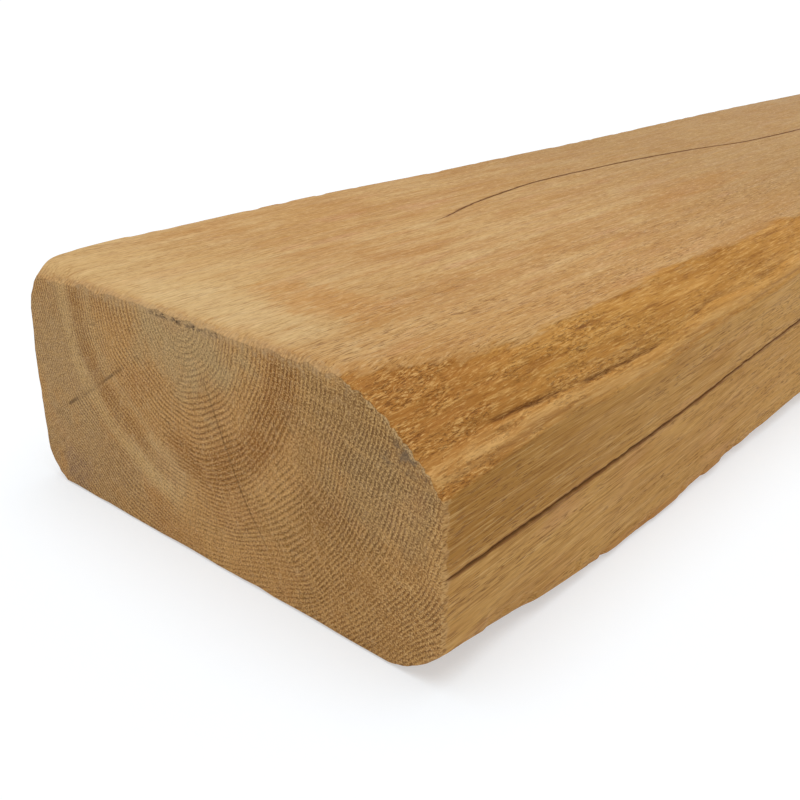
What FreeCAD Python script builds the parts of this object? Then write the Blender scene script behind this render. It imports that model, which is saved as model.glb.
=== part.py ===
import FreeCAD, Part
import math
import os

# Reclaimed oak beam: one squared length of old oak, lying on its broad face.
#
# X runs along the grain, Y across the broad faces and Z up. The origin is at the middle of the
# base. "Near" is the -Y side, which has the wider check, and "far" is the +Y side.
# "Along" is the distance from the -X end, "across" the distance from the near side and "up" the
# height above the base. Sizes are in millimetres.

LENGTH = 1200.0
WIDTH = 225.0
HEIGHT = 98.0

# The heart of the tree, as it shows on the -X end. Checks on the sides run in towards it.
HEART_ACROSS = 120.0
HEART_UP = 97.0

# Each long edge is worn or hewn away unevenly. A row gives the distance along, how far the edge
# is cut back across the broad face, and how far it is cut back on the side.
NEAR_TOP_EDGE = (
    (0.0, 45.0, 30.0),
    (30.0, 30.0, 27.0),
    (62.0, 19.0, 25.0),
    (124.0, 16.0, 28.0),
    (180.0, 19.0, 23.0),
    (230.0, 15.0, 22.0),
    (290.0, 16.0, 18.0),
    (400.0, 14.0, 20.0),
    (520.0, 19.0, 24.0),
    (660.0, 14.0, 21.0),
    (800.0, 18.0, 25.0),
    (940.0, 15.0, 19.0),
    (1080.0, 19.0, 23.0),
    (1200.0, 23.0, 26.0),
)
NEAR_BOTTOM_EDGE = (
    (0.0, 22.0, 14.0),
    (30.0, 17.0, 11.0),
    (60.0, 11.0, 7.0),
    (90.0, 7.0, 4.5),
    (121.0, 3.0, 2.0),
    (160.0, 4.0, 2.5),
    (207.0, 7.0, 4.5),
    (245.0, 9.0, 6.0),
    (290.0, 11.0, 7.5),
    (400.0, 6.0, 4.0),
    (540.0, 10.0, 6.5),
    (700.0, 5.0, 3.5),
    (860.0, 9.0, 6.0),
    (1010.0, 6.0, 4.0),
    (1120.0, 10.0, 7.0),
    (1200.0, 15.0, 11.0),
)
FAR_TOP_EDGE = (
    (0.0, 12.0, 42.0),
    (25.0, 7.0, 26.0),
    (55.0, 3.5, 11.0),
    (120.0, 2.5, 5.0),
    (200.0, 2.5, 4.5),
    (300.0, 3.0, 6.0),
    (420.0, 5.0, 9.0),
    (560.0, 4.0, 8.0),
    (720.0, 6.0, 12.0),
    (840.0, 9.0, 16.0),
    (980.0, 5.0, 9.0),
    (1100.0, 7.0, 12.0),
    (1200.0, 12.0, 17.0),
)
FAR_BOTTOM_EDGE = (
    (0.0, 12.0, 12.0),
    (60.0, 9.0, 9.0),
    (200.0, 6.0, 7.0),
    (380.0, 8.0, 8.0),
    (600.0, 5.0, 6.0),
    (820.0, 9.0, 8.0),
    (1000.0, 6.0, 6.0),
    (1200.0, 11.0, 10.0),
)
# A worn edge is a shallow arc. It turns this many degrees each side of its middle, or less
# where it would otherwise stand out past a face that it meets at a fine angle.
EDGE_TURN = 20.0
EDGE_TURN_SHARE = 0.7

# The check in the near side only nicks the -X end, opens behind it and closes before mid-length.
# A row gives the distance along, the height of its mouth, the gap at its mouth and its depth.
SIDE_CHECK = (
    (0.0, 41.0, 0.7, 4.0),
    (14.0, 41.2, 1.7, 13.0),
    (40.0, 41.7, 1.9, 21.0),
    (90.0, 43.0, 1.7, 21.0),
    (150.0, 45.0, 1.4, 19.0),
    (210.0, 48.5, 1.1, 17.0),
    (280.0, 52.0, 1.0, 14.0),
    (400.0, 55.0, 0.8, 10.0),
    (520.0, 57.0, 0.5, 6.0),
)
SIDE_CHECK_TIP = (600.0, 58.0)

# The check in the top follows the heart of the tree where it wanders along under the top face.
# A row gives the distance along, the distance across, the gap at its mouth and its depth.
TOP_CHECK = (
    (220.0, 154.0, 0.7, 4.0),
    (290.0, 160.5, 0.9, 7.0),
    (362.0, 156.0, 1.0, 9.0),
    (436.0, 146.0, 1.1, 10.0),
    (511.0, 129.5, 1.1, 10.0),
    (600.0, 123.5, 1.0, 9.0),
    (700.0, 119.0, 0.7, 6.0),
)
TOP_CHECK_TIPS = ((172.0, 143.0), (790.0, 116.0))

# Cutters run this far past the timber, so that they leave no skin behind.
OVERRUN = 10.0
# The curve of an edge cutter goes this far past the two faces that it joins.
CURVE_OVERRUN = 3.0
# A check's cutter stands this far out of its face.
CHECK_PROUD = 2.0
# Edge cutters are shaped through sections about this far apart.
SECTION_STEP = 30.0
# Checks are shaped through closer sections, because they open quickly.
CHECK_STEP = 15.0
# An edge cutter's arc is set out in this many spans.
ARC_SPANS = 6
# An edge cutter is this thick, across and up: more than any edge is cut back.
CUTTER_DEPTH = 80.0


def place(along, across, up):
    """A point of the timber, in the part's own frame."""
    return FreeCAD.Vector(along - LENGTH / 2.0, across - WIDTH / 2.0, up)


def slope_at(rows, column, index):
    """Slope of a column at one row: level at a peak, a dip or an end, else between its neighbours'."""
    if index in (0, len(rows) - 1):
        return 0.0
    before, here, after = rows[index - 1:index + 2]
    rise_before = (here[column] - before[column]) / (here[0] - before[0])
    rise_after = (after[column] - here[column]) / (after[0] - here[0])
    if rise_before * rise_after <= 0.0:
        return 0.0
    return 2.0 * rise_before * rise_after / (rise_before + rise_after)


def row_at(rows, along):
    """The row at any distance along, on smooth curves through the rows that never overshoot them."""
    if along <= rows[0][0]:
        return (along,) + rows[0][1:]
    if along >= rows[-1][0]:
        return (along,) + rows[-1][1:]
    index = max(i for i, row in enumerate(rows) if row[0] <= along)
    start, finish = rows[index], rows[index + 1]
    span = finish[0] - start[0]
    t = (along - start[0]) / span
    values = [along]
    for column in range(1, len(start)):
        leave = slope_at(rows, column, index) * span
        arrive = slope_at(rows, column, index + 1) * span
        step = finish[column] - start[column]
        values.append(start[column] + leave * t + (3.0 * step - 2.0 * leave - arrive) * t * t
                      + (leave + arrive - 2.0 * step) * t ** 3)
    return tuple(values)


def evenly(start, finish, step):
    """Distances from start to finish, both included, about a step apart."""
    count = max(1, round((finish - start) / step))
    return [start + (finish - start) * i / count for i in range(count + 1)]


def edge_section(corner, inward, along, across_cut, up_cut):
    """Points on the shallow arc that a long edge is cut back to, from broad face to side.

    corner is the sharp corner as (across, up), and inward holds +1 or -1 for each of them, as
    the timber lies from that corner.
    """
    broad = (corner[0] + inward[0] * across_cut, corner[1])
    side = (corner[0], corner[1] + inward[1] * up_cut)
    chord = math.dist(broad, side)
    finest = math.atan(min(across_cut, up_cut) / max(across_cut, up_cut))
    turn = min(math.radians(EDGE_TURN), EDGE_TURN_SHARE * finest)
    radius = chord / (2.0 * math.sin(turn))
    half_angle = turn + CURVE_OVERRUN / radius

    outward = (-inward[0] * up_cut / chord, -inward[1] * across_cut / chord)
    toward_broad = ((broad[0] - side[0]) / chord, (broad[1] - side[1]) / chord)
    middle = ((broad[0] + side[0]) / 2.0, (broad[1] + side[1]) / 2.0)
    centre = [middle[i] - outward[i] * radius * math.cos(turn) for i in range(2)]

    points = []
    for angle in evenly(-half_angle, half_angle, 2.0 * half_angle / ARC_SPANS):
        offset = [radius * (math.cos(angle) * outward[i] - math.sin(angle) * toward_broad[i])
                  for i in range(2)]
        points.append(place(along, centre[0] + offset[0], centre[1] + offset[1]))
    return points


def edge_cutter(corner, inward, rows):
    """What is missing along one long edge: a smooth sheet through its sections, thickened outwards."""
    stations = evenly(-OVERRUN, LENGTH + OVERRUN, SECTION_STEP)
    sheet = Part.BSplineSurface()
    sheet.interpolate([edge_section(corner, inward, *row_at(rows, along)) for along in stations])
    outwards = FreeCAD.Vector(0.0, -inward[0] * CUTTER_DEPTH, -inward[1] * CUTTER_DEPTH)
    return sheet.toShape().extrude(outwards)


def check_section(along, mouth, into, gap, depth):
    """Triangle across a check, sharp at its root and open past its mouth.

    mouth is (across, up) on the face and into is the unit direction from there to the root.
    """
    root = (mouth[0] + into[0] * depth, mouth[1] + into[1] * depth)
    reach = 1.0 + CHECK_PROUD / depth
    corners = [place(along, *root)]
    for half in (-gap / 2.0, gap / 2.0):
        lip = (mouth[0] - into[1] * half, mouth[1] + into[0] * half)
        corners.append(place(along, *[root[i] + (lip[i] - root[i]) * reach for i in range(2)]))
    return corners


def check_tip(along, mouth, into):
    """The point where a check closes, clear of the face."""
    return [place(along, mouth[0] - into[0] * CHECK_PROUD, mouth[1] - into[1] * CHECK_PROUD)]


def closed_skin(sections):
    """A solid with flat facets, through three-cornered sections and any single points at its ends."""
    facets = [corners for corners in (sections[0], sections[-1]) if len(corners) == 3]
    for here, after in zip(sections, sections[1:]):
        for i in range(3):
            a, b = here[i % len(here)], here[(i + 1) % len(here)]
            c, d = after[i % len(after)], after[(i + 1) % len(after)]
            if len(here) == 3:
                facets.append([a, b, c])
            if len(after) == 3:
                facets.append([b, d, c])
    shell = Part.makeShell([Part.Face(Part.makePolygon(corners + corners[:1])) for corners in facets])
    shell.sewShape()
    solid = Part.Solid(shell)
    if solid.Volume < 0.0:
        solid.reverse()
    return solid


def side_check_cutter():
    """The check in the near side. Its depth points to the heart at every section."""

    def to_heart(up):
        length = math.hypot(HEART_ACROSS, HEART_UP - up)
        return (HEART_ACROSS / length, (HEART_UP - up) / length)

    sections = []
    for station in evenly(-OVERRUN, SIDE_CHECK[-1][0], CHECK_STEP):
        along, up, gap, depth = row_at(SIDE_CHECK, station)
        sections.append(check_section(along, (0.0, up), to_heart(up), gap, depth))
    along, up = SIDE_CHECK_TIP
    return closed_skin(sections + [check_tip(along, (0.0, up), to_heart(up))])


def top_check_cutter():
    """The check in the top face, straight down into the timber and closed at both ends."""
    down = (0.0, -1.0)
    sections = []
    for station in evenly(TOP_CHECK[0][0], TOP_CHECK[-1][0], CHECK_STEP):
        along, across, gap, depth = row_at(TOP_CHECK, station)
        sections.append(check_section(along, (across, HEIGHT), down, gap, depth))
    start, finish = [check_tip(along, (across, HEIGHT), down) for along, across in TOP_CHECK_TIPS]
    return closed_skin([start] + sections + [finish])


def oak_beam():
    """The squared timber, less its worn edges and its drying checks."""
    timber = Part.makeBox(LENGTH, WIDTH, HEIGHT, place(0.0, 0.0, 0.0))
    missing = [
        edge_cutter((0.0, HEIGHT), (1.0, -1.0), NEAR_TOP_EDGE),
        edge_cutter((0.0, 0.0), (1.0, 1.0), NEAR_BOTTOM_EDGE),
        edge_cutter((WIDTH, HEIGHT), (-1.0, -1.0), FAR_TOP_EDGE),
        edge_cutter((WIDTH, 0.0), (-1.0, 1.0), FAR_BOTTOM_EDGE),
        side_check_cutter(),
        top_check_cutter(),
    ]
    for cutter in missing:
        timber = timber.cut(cutter)
    if len(timber.Solids) != 1 or not timber.isValid():
        raise ValueError("the beam didn't come out as one sound solid")
    return timber.Solids[0]


os.makedirs("parts", exist_ok=True)
beam = oak_beam()
beam.exportStep("parts/oak_beam.step")
print("oak_beam: volume", round(beam.Volume), "mm3, faces", len(beam.Faces))
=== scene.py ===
import math

import bpy
import numpy as np
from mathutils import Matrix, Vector, geometry


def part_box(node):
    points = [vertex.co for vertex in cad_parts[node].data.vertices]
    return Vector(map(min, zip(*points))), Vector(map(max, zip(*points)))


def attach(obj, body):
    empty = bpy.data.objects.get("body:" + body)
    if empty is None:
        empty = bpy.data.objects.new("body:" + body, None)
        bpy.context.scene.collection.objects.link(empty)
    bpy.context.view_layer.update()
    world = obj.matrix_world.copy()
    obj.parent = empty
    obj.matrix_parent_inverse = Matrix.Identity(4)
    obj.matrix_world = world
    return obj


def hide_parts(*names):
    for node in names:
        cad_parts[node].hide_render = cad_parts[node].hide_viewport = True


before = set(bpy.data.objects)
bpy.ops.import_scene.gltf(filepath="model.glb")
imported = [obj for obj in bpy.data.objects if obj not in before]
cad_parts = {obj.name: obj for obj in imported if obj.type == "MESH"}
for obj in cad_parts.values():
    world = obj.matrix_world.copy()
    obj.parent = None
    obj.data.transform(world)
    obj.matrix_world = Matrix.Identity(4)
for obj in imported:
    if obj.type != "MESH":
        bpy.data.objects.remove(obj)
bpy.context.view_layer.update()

# Reclaimed oak beam: one squared length of old oak, lying on its broad face.
#
# X runs along the grain, Y across the broad faces and Z up. "Along" is the distance from the -X
# end, "across" the distance from the near side (-Y) and "up" the height above the base. The
# shapes are worked out in millimetres and made in metres.

MM = 0.001
LOW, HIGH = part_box("oak_beam")
LENGTH = (HIGH.x - LOW.x) / MM
WIDTH = (HIGH.y - LOW.y) / MM
HEIGHT = (HIGH.z - LOW.z) / MM

HEART_ACROSS = 120
HEART_UP = 97
RING_STEP = 2.1

# How far each long edge is worn or hewn away: distance along, cut across the broad face, cut on
# the side.
NEAR_TOP_EDGE = (
    (0, 45, 30), (30, 30, 27), (62, 19, 25), (124, 16, 28), (180, 19, 23), (230, 15, 22),
    (290, 16, 18), (400, 14, 20), (520, 19, 24), (660, 14, 21), (800, 18, 25), (940, 15, 19),
    (1080, 19, 23), (1200, 23, 26),
)
NEAR_BOTTOM_EDGE = (
    (0, 22, 14), (30, 17, 11), (60, 11, 7), (90, 7, 4.5), (121, 3, 2), (160, 4, 2.5),
    (207, 7, 4.5), (245, 9, 6), (290, 11, 7.5), (400, 6, 4), (540, 10, 6.5), (700, 5, 3.5),
    (860, 9, 6), (1010, 6, 4), (1120, 10, 7), (1200, 15, 11),
)
FAR_TOP_EDGE = (
    (0, 12, 42), (25, 7, 26), (55, 3.5, 11), (120, 2.5, 5), (200, 2.5, 4.5), (300, 3, 6),
    (420, 5, 9), (560, 4, 8), (720, 6, 12), (840, 9, 16), (980, 5, 9), (1100, 7, 12),
    (1200, 12, 17),
)
FAR_BOTTOM_EDGE = (
    (0, 12, 12), (60, 9, 9), (200, 6, 7), (380, 8, 8), (600, 5, 6), (820, 9, 8), (1000, 6, 6),
    (1200, 11, 10),
)
EDGE_TURN = 20
EDGE_TURN_SHARE = 0.7

# The drying checks: distance along, place of the mouth on its face, gap and depth.
SIDE_CHECK = (
    (0, 41, 0.3, 0.3), (3, 41, 0.8, 4), (14, 41.2, 1.7, 13), (40, 41.7, 1.9, 21),
    (90, 43, 1.7, 21), (150, 45, 1.4, 19), (210, 48.5, 1.1, 17), (280, 52, 1, 14),
    (400, 55, 0.8, 10), (520, 57, 0.5, 6), (600, 58, 0, 0), (1200, 58, 0, 0),
)
TOP_CHECK = (
    (0, 143, 0, 0), (162, 142, 0, 0), (176, 143.9, 0.35, 1.6), (220, 154, 0.7, 4),
    (290, 160.5, 0.9, 7), (362, 156, 1, 9), (436, 146, 1.1, 10), (511, 129.5, 1.1, 10),
    (600, 123.5, 1, 9), (700, 119, 0.7, 6), (790, 116, 0, 0), (1200, 116, 0, 0),
)
# Their mouths are drawn this much wider or narrower than in the solid. A closed check is still a
# line of the mesh, this wide.
SIDE_CHECK_SHARE = 0.92
TOP_CHECK_SHARE = 1.2
CLOSED_GAP = 0.5

# The fine radial shake in the -X end, from the heart outwards, as (across, up).
END_SHAKE = ((108, 76.5), (98.5, 54), (92, 39.4), (87.3, 31.5), (79, 20))
SHAKE_GAP = 0.28
SHAKE_DEPTH = 1.8

# The far top corner of the -X end is worn down by this much, over this length.
CORNER_DROP = 4.2
CORNER_REACH = 5.5

# How far the middle of each end is set in from its rim's furthest points, and how far apart its
# points are.
NEAR_END_SET_IN = 0.22
FAR_END_SET_IN = 0.18
END_POINT_STEP = 3.2

SAW_PITCH = 7.5
BASE_SAW_PITCH = 8
SHARP_ANGLE = 42

# The flat map: the long faces' corner and size, then each end's left edge and width.
LONG_FACE_MAP = ((0.004, 0.375), (0.992, 0.620))
END_MAPS = {1: (0.004, 0.60), 2: (0.625, 0.36)}
END_MAP_FOOT = 0.02

# Stations right after the -X end, and back from the +X end.
FIRST_STATIONS = (0, 0.3, 0.7, 1.2, 1.9, 2.8, 4)
LAST_STATIONS = (12, 8, 5, 3, 1.6, 0.7, 0)

# Steps round the beam, from the foot of the near side up, over the top and back under.
AROUND = (
    ("near_low", 14), ("side_check", 4), ("near_high", 22), ("wane", 44), ("top_near", 48),
    ("top_check", 4), ("top_far", 28), ("far_top_edge", 12), ("far_side", 14),
    ("far_bottom_edge", 6), ("base", 24), ("near_bottom_edge", 12),
)


# Noise and curves

def cell_number(x, y, z, seed):
    """A fixed number from -1 to 1 for each cell of a lattice."""
    mixed = (x.astype(np.int64) * 374761393 + y.astype(np.int64) * 668265263
             + z.astype(np.int64) * 1442695041 + seed * 974634777)
    mixed = mixed & 0xFFFFFFFF
    mixed = ((mixed ^ (mixed >> 13)) * 1274126177) & 0xFFFFFFFF
    mixed = mixed ^ (mixed >> 16)
    return (mixed & 0xFFFF) / 32767.5 - 1


def noise(x, y, z, seed):
    """Smooth noise from -1 to 1, one cell to each unit."""
    x, y, z = np.broadcast_arrays(x, y, z)
    cells = [np.floor(value) for value in (x, y, z)]
    parts = [value - cell for value, cell in zip((x, y, z), cells)]
    parts = [part * part * (3 - 2 * part) for part in parts]
    total = np.zeros(x.shape)
    for corner in range(8):
        steps = (corner & 1, (corner >> 1) & 1, (corner >> 2) & 1)
        weight = np.ones(x.shape)
        for part, step in zip(parts, steps):
            weight = weight * (part if step else 1 - part)
        total += weight * cell_number(*[cell + step for cell, step in zip(cells, steps)], seed)
    return total


def ease(value, start, finish):
    """0 before start, 1 after finish and smooth between them."""
    part = np.clip((value - start) / (finish - start), 0, 1)
    return part * part * (3 - 2 * part)


def bump(value, middle, reach):
    """1 in the middle, falling smoothly to nothing over about twice the reach."""
    return np.exp(-((value - middle) / reach) ** 2)


def rows_at(rows, along):
    """Each column of the rows at these distances along, on smooth curves that never overshoot."""
    table = np.array(rows, float)
    places = table[:, 0]
    rises = np.diff(table, axis=0) / np.diff(places)[:, None]
    slopes = np.zeros(table.shape)
    before, after = rises[:-1], rises[1:]
    same_way = before * after > 0
    slopes[1:-1][same_way] = (2 * before * after)[same_way] / (before + after)[same_way]
    index = np.clip(np.searchsorted(places, along, side="right") - 1, 0, len(places) - 2)
    span = places[index + 1] - places[index]
    t = np.clip((along - places[index]) / span, 0, 1)
    columns = []
    for column in range(1, table.shape[1]):
        start = table[index, column]
        step = table[index + 1, column] - start
        leave = slopes[index, column] * span
        arrive = slopes[index + 1, column] * span
        columns.append(start + leave * t + (3 * step - 2 * leave - arrive) * t ** 2
                       + (leave + arrive - 2 * step) * t ** 3)
    return columns


def put_in_scene(name, data):
    """A new object of this mesh, lamp or camera, in the scene."""
    holder = bpy.data.objects.new(name, data)
    bpy.context.scene.collection.objects.link(holder)
    return holder


# The beam's skin

def stations():
    """Distances along at which the beam is set out: close where its end shows, wider beyond."""
    marks = list(FIRST_STATIONS)
    while marks[-1] < LENGTH - LAST_STATIONS[0]:
        here = marks[-1]
        step = 1.6 + 4.4 * float(ease(here, 120, 620)) + 2 * float(ease(here, 600, 900))
        marks.append(here + step)
    return np.array(marks[:-1] + [LENGTH - back for back in LAST_STATIONS])


def edge_arc(broad, side, cuts, outward, count, from_side):
    """Points of a worn edge's shallow arc between its two faces, without the last."""
    across_cut, up_cut = cuts
    chord = np.hypot(across_cut, up_cut)
    finest = np.arctan(np.minimum(across_cut, up_cut) / np.maximum(across_cut, up_cut))
    turn = np.minimum(math.radians(EDGE_TURN), EDGE_TURN_SHARE * finest)
    rise = chord / (2 * np.sin(turn)) * (1 - np.cos(turn))
    lean = (outward[0] * up_cut / chord, outward[1] * across_cut / chord)
    start, finish = (side, broad) if from_side else (broad, side)
    t = np.linspace(0, 1, count, endpoint=False)
    swell = 4 * t * (1 - t)
    return [start[i][:, None] + (finish[i] - start[i])[:, None] * t
            + (lean[i] * rise)[:, None] * swell for i in range(2)]


def straight(start, finish, count):
    """Even points from start to finish at every station, without the last."""
    t = np.linspace(0, 1, count, endpoint=False)
    return [start[i][:, None] + (finish[i] - start[i])[:, None] * t for i in range(2)]


def sections(along):
    """(across, up) of the plain beam at each station, the stretches' names and the check rows."""
    zero = np.zeros(len(along))
    near_top = rows_at(NEAR_TOP_EDGE, along)
    near_bottom = rows_at(NEAR_BOTTOM_EDGE, along)
    far_top = rows_at(FAR_TOP_EDGE, along)
    far_bottom = rows_at(FAR_BOTTOM_EDGE, along)
    side_check = rows_at(SIDE_CHECK, along)
    top_check = rows_at(TOP_CHECK, along)
    side_half = np.maximum(side_check[1] * SIDE_CHECK_SHARE, CLOSED_GAP) / 2
    top_half = np.maximum(top_check[1] * TOP_CHECK_SHARE, CLOSED_GAP) / 2

    foot = (zero, near_bottom[1])
    lower_lip = (zero, side_check[0] - side_half)
    upper_lip = (zero, side_check[0] + side_half)
    wane_foot = (zero, HEIGHT - near_top[1])
    wane_head = (near_top[0], zero + HEIGHT)
    near_lip = (top_check[0] - top_half, zero + HEIGHT)
    far_lip = (top_check[0] + top_half, zero + HEIGHT)
    far_head = (WIDTH - far_top[0], zero + HEIGHT)
    far_shoulder = (zero + WIDTH, HEIGHT - far_top[1])
    far_foot = (zero + WIDTH, far_bottom[1])
    far_base = (WIDTH - far_bottom[0], zero)
    near_base = (near_bottom[0], zero)
    counts = dict(AROUND)
    stretches = [
        straight(foot, lower_lip, counts["near_low"]),
        straight(lower_lip, upper_lip, counts["side_check"]),
        straight(upper_lip, wane_foot, counts["near_high"]),
        edge_arc(wane_head, wane_foot, near_top, (-1, 1), counts["wane"], True),
        straight(wane_head, near_lip, counts["top_near"]),
        straight(near_lip, far_lip, counts["top_check"]),
        straight(far_lip, far_head, counts["top_far"]),
        edge_arc(far_head, far_shoulder, far_top, (1, 1), counts["far_top_edge"], False),
        straight(far_shoulder, far_foot, counts["far_side"]),
        edge_arc(far_base, far_foot, far_bottom, (1, -1), counts["far_bottom_edge"], True),
        straight(far_base, near_base, counts["base"]),
        edge_arc(near_base, foot, near_bottom, (-1, -1), counts["near_bottom_edge"], False),
    ]
    across = np.concatenate([stretch[0] for stretch in stretches], axis=1)
    up = np.concatenate([stretch[1] for stretch in stretches], axis=1)
    first = {}
    start = 0
    for name, count in AROUND:
        first[name] = start
        start += count
    return across, up, first, side_check, top_check


def outward(across, up):
    """Unit direction out of the wood at every point, square to the grain."""
    step_across = np.roll(across, -1, axis=1) - np.roll(across, 1, axis=1)
    step_up = np.roll(up, -1, axis=1) - np.roll(up, 1, axis=1)
    size = np.hypot(step_across, step_up)
    return -step_up / size, step_across / size


def walk(across, up):
    """Distance walked round the beam to each point, from the foot of the near side."""
    steps = np.hypot(np.diff(across, axis=1), np.diff(up, axis=1))
    return np.concatenate([np.zeros((len(across), 1)), np.cumsum(steps, axis=1)], axis=1)


def relief(along, across, up, first):
    """How far each point stands out of the plain beam, and how hewn the wood is there."""
    x = np.broadcast_to(along[:, None], across.shape)

    def wave(long, seed):
        return noise(x / long, 0, 0, seed)

    def lumps(long, fine, seed):
        return noise(x / long, across / fine, up / fine, seed)

    way = walk(across, up)
    foot = way[:, first["wane"]][:, None]
    head = way[:, first["top_near"]][:, None]
    wobble = 2.5 * wave(23, 3) + 1.2 * wave(6, 4)
    wobble -= 8 * (1 - ease(x, 10, 140))
    hewn = ease(way - foot, -2, 2.5) * ease(head + wobble - way, -6, 1.5)
    share = (way - foot) / (head - foot)
    top = ease(up, HEIGHT - 1, HEIGHT - 0.2) * (1 - hewn)
    near = ease(-across, -0.6, -0.1) * (1 - hewn)
    far = ease(across, WIDTH - 0.6, WIDTH - 0.1)
    under = ease(-up, -0.6, -0.1)

    # The hewn edge: long flats, ridges along the grain, and torn hollows near the end.
    near_end = 0.55 + 0.75 * (1 - ease(x, 40, 150))
    stand = hewn * 0.9 * lumps(58, 13, 11)
    stand += hewn * near_end * 0.42 * lumps(17, 2.1, 12)
    stand += hewn * near_end * 0.22 * lumps(5, 1.5, 13)
    patches = lumps(30, 11, 14) + 0.5 * (1 - ease(x, 50, 90))
    patches = ease(patches, 0, 0.5)
    torn = ease(lumps(7, 1.9, 15), 0.1, 0.7)
    stand -= hewn * patches * torn * (0.25 + 0.5 * (1 - ease(x, 60, 150)))
    seam = 0.31 + 0.035 * wave(45, 16) + 0.012 * wave(9, 17)
    crease = bump((share - seam) * (head - foot), 0, 1.1) * (1 - 0.6 * ease(x, 110, 240))
    crease = crease * ease(wave(24, 18), -0.9, 0.3)
    stand -= hewn * crease * 1.2
    ridge = bump((share - 0.5 * seam) * (head - foot), 0, 3.2)
    stand += hewn * ridge * (0.8 + 0.35 * wave(40, 19))
    lip = bump(way - foot, 0.5, 1) * ease(x, 2, 30)
    stand += lip * (0.25 + 0.3 * wave(14, 20))

    # The top: easy hollows, a higher far edge near the end, and raised grain.
    stand += top * 0.35 * noise(x / 170, across / 45, 0, 21)
    stand += top * 0.10 * noise(x / 40, across / 2.6, 0, 22)
    far_rise = ease(across, WIDTH - 45, WIDTH - 4) * ease(up, HEIGHT - 6, HEIGHT - 1)
    stand += far_rise * (1.7 * bump(x, 160, 75) + 1.3 * bump(x, 40, 60))
    shoulder_start = way[:, first["far_top_edge"]][:, None]
    shoulder_size = way[:, first["far_side"]][:, None] - shoulder_start
    shoulder = (way - shoulder_start) / shoulder_size
    round_out = bump(shoulder, 0.30, 0.26) * (0.75 + 0.25 * ease(x, 0, 14))
    round_out = round_out * (1 - ease(x, 25, 80))
    stand += round_out * np.clip(shoulder_size / 44, 0, 1) * 4.5
    nicks = ease(noise(x / 9, 3, 0, 35), 0.2, 0.7)
    stand -= 0.5 * nicks * bump(shoulder, 0.3, 0.5) * ease(across, WIDTH - 12, WIDTH - 3)

    # The sides and the base: saw marks across the grain, worn nearly smooth.
    saw_wobble = 1.5 * noise(x / 40, up / 60, 0, 23)
    saw = np.sin(2 * math.pi * (x + 0.25 * up) / SAW_PITCH + saw_wobble)
    sawn_patch = ease(noise(x / 120, up / 45, across / 90, 24), -0.1, 0.6)
    stand += (0.25 * near + far) * 0.12 * saw * sawn_patch
    stand += (near + far) * 0.12 * noise(x / 45, up / 2, 0, 25)
    stand += (near + far) * 0.25 * noise(x / 150, up / 30, across / 90, 26)
    under_saw = np.sin(2 * math.pi * (x + 0.2 * across) / BASE_SAW_PITCH)
    stand -= under * 0.12 * (1 + under_saw * 0.7 + 0.3 * noise(x / 30, across / 3, 0, 27))

    # Small chips out of the lower edges.
    low_edge = bump(way, 0, 4) + bump(way[:, -1:] - way, 0, 4)
    chip = ease(lumps(5, 4, 28), 0.25, 0.8)
    stand -= low_edge * chip * 1.2
    splinter = ease(lumps(2.3, 2, 29), 0.35, 0.8)
    stand -= low_edge * splinter * 0.7 * near_low_wear(x)
    scallop = ease(noise(x / 15, 1, 0, 36), 0.1, 0.7) * (1 - ease(x, 190, 300))
    stand -= low_edge * scallop * 0.9
    marks = {"hewn": hewn, "crease": hewn * crease, "ridge": hewn * ridge}
    return stand, marks


def near_low_wear(x):
    """How broken the lower edges are along the beam, from 0 to 1."""
    return ease(noise(x / 30, 5, 0, 30), -0.3, 0.4)


def nibble(along, across, up, hewn):
    """How far the last few millimetres of each end are eaten back, square to the grain."""
    from_end = np.minimum(along, LENGTH - along)[:, None]
    at_top = ease(up, HEIGHT - 2, HEIGHT - 0.5)
    reach = np.exp(-from_end / 1.3) + 0.7 * np.exp(-(from_end / 2.6) ** 2) * at_top
    grain = noise(across / 1.5, up / 1.5, 0, 31) + 0.6 * noise(across / 5, up / 5, 0, 32)
    back = 0.75 + 0.35 * np.clip(grain, -1, 2)
    notch = ease(noise(across / 1.4, up / 1.4, 0, 33), 0.25, 0.75)
    rough = hewn + 1.1 * bump(across, 118, 24) * at_top
    notched = np.exp(-from_end / 2.4) * notch * rough * 1.1
    crumb = ease(noise(across / 6, along[:, None] / 3, 0, 34), -0.1, 0.6)
    crumbled = np.exp(-(from_end / 2.8) ** 2) * crumb * at_top * (1 - hewn) * 1.1
    return reach * back + notched + crumbled


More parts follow.
